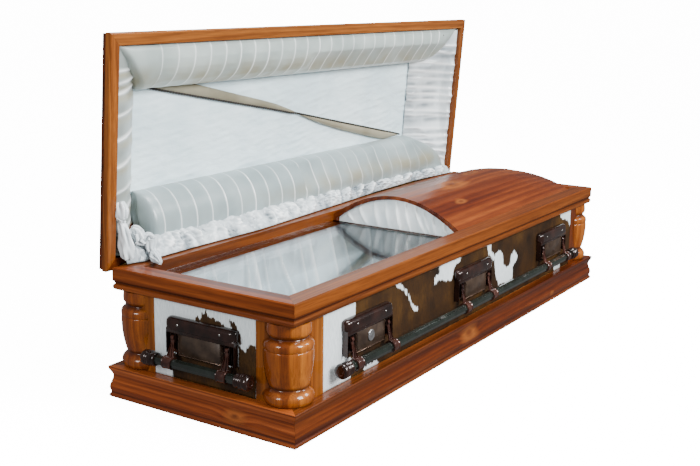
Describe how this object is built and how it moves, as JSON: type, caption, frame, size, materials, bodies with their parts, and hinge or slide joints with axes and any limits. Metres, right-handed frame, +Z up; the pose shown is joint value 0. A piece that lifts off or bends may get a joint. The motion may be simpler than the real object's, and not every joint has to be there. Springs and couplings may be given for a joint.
{
  "type": "wooden casket with glass pane and hinged padded lid",
  "caption": "Rectangular wooden casket with corner columns, hide panels, swing handles, a glass pane, a domed inner lid and a hinged lid lined with satin.",
  "frame": {"origin": "centre of the underside", "axes": "+Z up, +X towards the foot end, -Y towards the front long side; the lid is hinged on the +Y side and stored open"},
  "size_m": [2.0646, 0.7751, 1.0077],
  "materials": {
    "wood": "gloss varnished orange-brown pine",
    "column_wood": "gloss varnished turned pine",
    "board": "plain board",
    "hide": "brown and white cowhide with its hair",
    "bronze": "glossy dark bronze",
    "bar": "dark grey-green satin paint",
    "satin": "white satin",
    "sash": "beige ribbon with a dark stitched edge",
    "glass": "clear",
    "hinge": "satin",
    "disc": "satin"
  },
  "bodies": {
    "root": {"plinth_front": "wood", "plinth_foot": "wood", "plinth_back": "wood", "plinth_head": "wood", "cornice_front": "wood", "cornice_foot": "wood", "cornice_back": "wood", "cornice_head": "wood", "floor_board": "board", "board_front": "board", "board_foot": "board", "board_back": "board", "board_head": "board", "hide_panel_front": "hide", "hide_panel_foot": "hide", "hide_panel_back": "hide", "hide_panel_head": "hide", "corner_post_front_head": "wood", "corner_post_back_head": "wood", "corner_post_front_foot": "wood", "corner_post_back_foot": "wood", "column_front_head": "column_wood", "column_back_head": "column_wood", "column_front_foot": "column_wood", "column_back_foot": "column_wood", "glass_pane": "glass", "dome_lid": "wood", "satin_arch_panel": "satin", "body_lining": "satin", "hinge_leaf_body": "hinge", "handle_plate_front_1": "bronze", "handle_plate_front_2": "bronze", "handle_plate_front_3": "bronze", "handle_plate_foot": "bronze", "handle_plate_back_1": "bronze", "handle_plate_back_2": "bronze", "handle_plate_back_3": "bronze", "handle_plate_head": "bronze", "plate_disc": "disc"},
    "lid": {"lid_frame_front": "wood", "lid_frame_foot": "wood", "lid_frame_back": "wood", "lid_frame_head": "wood", "lid_top": "wood", "satin_roll_front": "satin", "satin_roll_back": "satin", "satin_roll_head": "satin", "satin_roll_foot": "satin", "lid_panel": "satin", "lid_sash": "sash", "hinge_leaf_lid": "hinge"},
    "front_handle": {"handle_front": "bar"},
    "back_handle": {"handle_back": "bar"},
    "head_handle": {"handle_head": "bar"},
    "foot_handle": {"handle_foot": "bar"}
  },
  "joints": [
    {"name": "lid_hinge", "type": "hinge", "parent": "root", "child": "lid", "pos_m": [0, 0.3156, 0.367], "axis": [1, 0, 0], "range_deg": [0, 85.8]},
    {"name": "front_handle_swing", "type": "hinge", "parent": "root", "child": "front_handle", "pos_m": [0, -0.3038, 0.213], "axis": [-1, 0, 0], "range_deg": [0, 75]},
    {"name": "back_handle_swing", "type": "hinge", "parent": "root", "child": "back_handle", "pos_m": [0, 0.3038, 0.213], "axis": [1, 0, 0], "range_deg": [0, 75]},
    {"name": "head_handle_swing", "type": "hinge", "parent": "root", "child": "head_handle", "pos_m": [-0.9958, 0, 0.213], "axis": [0, 1, 0], "range_deg": [0, 75]},
    {"name": "foot_handle_swing", "type": "hinge", "parent": "root", "child": "foot_handle", "pos_m": [0.9958, 0, 0.213], "axis": [0, -1, 0], "range_deg": [0, 75]}
  ]
}
